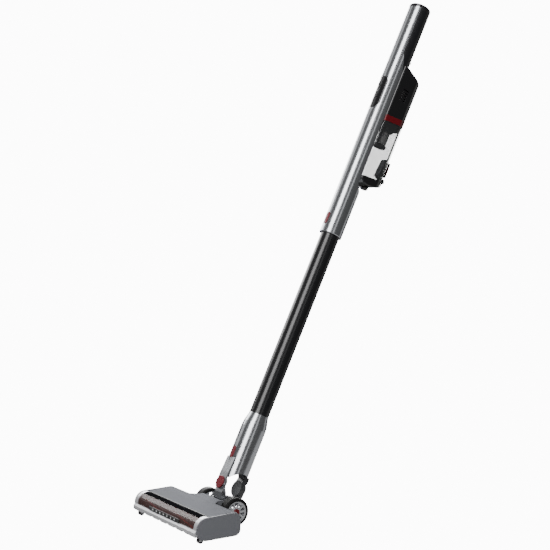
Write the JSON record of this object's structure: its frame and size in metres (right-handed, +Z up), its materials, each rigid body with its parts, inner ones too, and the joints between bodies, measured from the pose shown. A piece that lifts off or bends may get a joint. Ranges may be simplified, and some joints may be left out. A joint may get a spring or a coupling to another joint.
{
  "type": "cordless stick vacuum cleaner",
  "caption": "Upright cordless stick vacuum with slim silver body, clear dust cup behind the spine, black wand and a powered floor head on a swivelling neck",
  "frame": {"origin": "middle of the hand grip, on the axis of the stick (mount hand_grip)", "axes": "+Z up, +X across the machine towards its left wheel as the user sees it from behind, -Y the way the floor head's nose points; the stick leans back 25.8 degrees towards +Y"},
  "size_m": [0.24, 0.6311, 1.0297],
  "materials": {
    "front_shell": "bright silver metallic lacquer on moulded plastic",
    "rear_shell": "bright silver metallic lacquer on moulded plastic",
    "grip_shell": "satin black plastic",
    "shell_screws": "blackened steel",
    "handle_end_cap": "gloss black plastic",
    "charging_socket": "nickel plated socket",
    "battery_cells": "blue shrink sleeve",
    "control_board": "green board lacquer",
    "display_panel": "gloss black plastic",
    "intake_duct": "dark grey plastic",
    "motor_housing": "gloss black plastic",
    "collar_ring": "gloss deep red plastic",
    "suction_motor": "plain steel can",
    "exhaust_filter": "pleated paper",
    "power_button": "gloss dark grey plastic",
    "mode_button": "gloss dark grey plastic",
    "impeller": "machined",
    "dust_cup": "clear polycarbonate",
    "cup_bracket": "black plastic",
    "lid_hinge_pin": "steel",
    "filter_frame": "dark grey plastic",
    "filter_element": "white pleated filter",
    "air_guide": "dark grey plastic",
    "cup_seal": "black silicone",
    "cup_lid": "gloss black plastic",
    "release_slider": "gloss black plastic",
    "release_inlay": "red plastic",
    "wand_tube": "gloss black lacquer on aluminium tube",
    "wand_upper_collar": "bright silver metallic lacquer on moulded plastic",
    "wand_lower_collar": "bright silver metallic lacquer on moulded plastic",
    "wand_release_button": "red plastic",
    "neck_fork": "bright silver metallic lacquer on moulded plastic",
    "neck_duct": "dark grey plastic",
    "head_release_button": "red plastic",
    "yoke": "bright silver metallic lacquer",
    "elbow_duct": "grey plastic",
    "swivel_pin": "steel",
    "pivot_cap": "red plastic",
    "top_cover": "satin blue-grey plastic",
    "base_plate": "black plastic",
    "base_screws": "zinc plated",
    "wheel_axle": "steel rod",
    "axle_caps": "red plastic",
    "front_frame": "light silver plastic",
    "brush_window": "tinted clear plastic",
    "window_seal": "black rubber",
    "led_module": "frosted lamp strip",
    "end_cap_left": "satin blue-grey plastic",
    "end_cap_right": "satin blue-grey plastic",
    "brush_motor": "steel can",
    "drive_belt": "black rubber",
    "motor_pulley": "natural nylon",
    "brush_core": "dark plastic",
    "brush_fibre": "soft nylon fibre with darker bristle rows",
    "tyre_left": "soft black rubber",
    "hub_left": "silver plastic",
    "tyre_right": "soft black rubber",
    "hub_right": "silver plastic",
    "front_roller_left": "black plastic",
    "front_roller_right": "black plastic"
  },
  "bodies": {
    "handheld": {"front_shell": "front_shell", "rear_shell": "rear_shell", "grip_shell": "grip_shell", "shell_screws": "shell_screws", "handle_end_cap": "handle_end_cap", "charging_socket": "charging_socket", "battery_cells": "battery_cells", "control_board": "control_board", "display_panel": "display_panel", "intake_duct": "intake_duct", "motor_housing": "motor_housing", "collar_ring": "collar_ring", "suction_motor": "suction_motor", "exhaust_filter": "exhaust_filter"},
    "power_button": {"power_button": "power_button"},
    "mode_button": {"mode_button": "mode_button"},
    "impeller": {"impeller": "impeller"},
    "dust_cup": {"dust_cup": "dust_cup", "cup_bracket": "cup_bracket", "lid_hinge_pin": "lid_hinge_pin", "filter_frame": "filter_frame", "filter_element": "filter_element", "air_guide": "air_guide", "cup_seal": "cup_seal"},
    "cup_lid": {"cup_lid": "cup_lid"},
    "release_slider": {"release_slider": "release_slider", "release_inlay": "release_inlay"},
    "wand": {"wand_tube": "wand_tube", "wand_upper_collar": "wand_upper_collar", "wand_lower_collar": "wand_lower_collar"},
    "wand_release_button": {"wand_release_button": "wand_release_button"},
    "neck": {"neck_fork": "neck_fork", "neck_duct": "neck_duct"},
    "head_release_button": {"head_release_button": "head_release_button"},
    "yoke": {"yoke": "yoke", "elbow_duct": "elbow_duct", "swivel_pin": "swivel_pin", "pivot_cap": "pivot_cap"},
    "head": {"top_cover": "top_cover", "base_plate": "base_plate", "base_screws": "base_screws", "wheel_axle": "wheel_axle", "axle_caps": "axle_caps", "front_frame": "front_frame", "brush_window": "brush_window", "window_seal": "window_seal", "led_module": "led_module", "end_cap_left": "end_cap_left", "end_cap_right": "end_cap_right", "brush_motor": "brush_motor", "drive_belt": "drive_belt"},
    "motor_pulley": {"motor_pulley": "motor_pulley"},
    "brush": {"brush_core": "brush_core", "brush_fibre": "brush_fibre"},
    "wheel_left": {"tyre_left": "tyre_left", "hub_left": "hub_left"},
    "wheel_right": {"tyre_right": "tyre_right", "hub_right": "hub_right"},
    "front_roller_left": {"front_roller_left": "front_roller_left"},
    "front_roller_right": {"front_roller_right": "front_roller_right"}
  },
  "joints": [
    {"name": "power_press", "type": "slide", "parent": "handheld", "child": "power_button", "axis": [0, 0.9003, -0.4352], "range_m": [0, 0.0008], "stiffness_N_per_m": 300, "springref_m": -0.0008},
    {"name": "mode_press", "type": "slide", "parent": "handheld", "child": "mode_button", "axis": [0, 0.9003, -0.4352], "range_m": [0, 0.0008], "stiffness_N_per_m": 300, "springref_m": -0.0008},
    {"name": "impeller_spin", "type": "hinge", "parent": "handheld", "child": "impeller", "pos_m": [0, -0.04083, -0.15798], "axis": [0, 0.4352, 0.9003], "continuous": true},
    {"name": "cup_slide", "type": "slide", "parent": "handheld", "child": "dust_cup", "axis": [0, 0.9003, -0.4352], "range_m": [0, 0.09]},
    {"name": "lid_hinge", "type": "hinge", "parent": "dust_cup", "child": "cup_lid", "pos_m": [0, -0.07377, -0.30977], "axis": [1, 0, 0], "range_deg": [0, 95]},
    {"name": "release_slide", "type": "slide", "parent": "dust_cup", "child": "release_slider", "axis": [0, -0.4352, -0.9003], "range_m": [0, 0.005], "stiffness_N_per_m": 400, "springref_m": -0.001},
    {"name": "wand_slide", "type": "slide", "parent": "handheld", "child": "wand", "axis": [0, -0.4352, -0.9003], "range_m": [0, 0.045]},
    {"name": "wand_release_press", "type": "slide", "parent": "wand", "child": "wand_release_button", "axis": [0, 0.9003, -0.4352], "range_m": [0, 0.0015], "stiffness_N_per_m": 300, "springref_m": -0.0008},
    {"name": "neck_slide", "type": "slide", "parent": "wand", "child": "neck", "axis": [0, -0.4352, -0.9003], "range_m": [0, 0.04]},
    {"name": "head_release_press", "type": "slide", "parent": "neck", "child": "head_release_button", "axis": [0, 0.9003, -0.4352], "range_m": [0, 0.0015], "stiffness_N_per_m": 300, "springref_m": -0.0008},
    {"name": "neck_swivel", "type": "hinge", "parent": "neck", "child": "yoke", "pos_m": [0, -0.43436, -0.89852], "axis": [0, 0.9003, -0.4352], "range_deg": [-35, 35]},
    {"name": "head_pitch", "type": "hinge", "parent": "yoke", "child": "head", "pos_m": [0, -0.45624, -0.93459], "axis": [1, 0, 0], "range_deg": [-25.8, 45]},
    {"name": "brush_spin", "type": "hinge", "parent": "head", "child": "brush", "pos_m": [0, -0.55674, -0.94109], "axis": [1, 0, 0], "continuous": true},
    {"name": "pulley_spin", "type": "hinge", "parent": "head", "child": "motor_pulley", "pos_m": [-0.11, -0.51424, -0.94109], "axis": [1, 0, 0], "continuous": true},
    {"name": "wheel_left_spin", "type": "hinge", "parent": "head", "child": "wheel_left", "pos_m": [0.0472, -0.45624, -0.93459], "axis": [1, 0, 0], "continuous": true},
    {"name": "wheel_right_spin", "type": "hinge", "parent": "head", "child": "wheel_right", "pos_m": [-0.0472, -0.45624, -0.93459], "axis": [1, 0, 0], "continuous": true},
    {"name": "front_roller_left_spin", "type": "hinge", "parent": "head", "child": "front_roller_left", "pos_m": [0.112, -0.56824, -0.95609], "axis": [1, 0, 0], "continuous": true},
    {"name": "front_roller_right_spin", "type": "hinge", "parent": "head", "child": "front_roller_right", "pos_m": [-0.112, -0.56824, -0.95609], "axis": [1, 0, 0], "continuous": true}
  ],
  "couplings": [
    {"joint": "pulley_spin", "follows": "brush_spin", "ratio": 2}
  ]
}
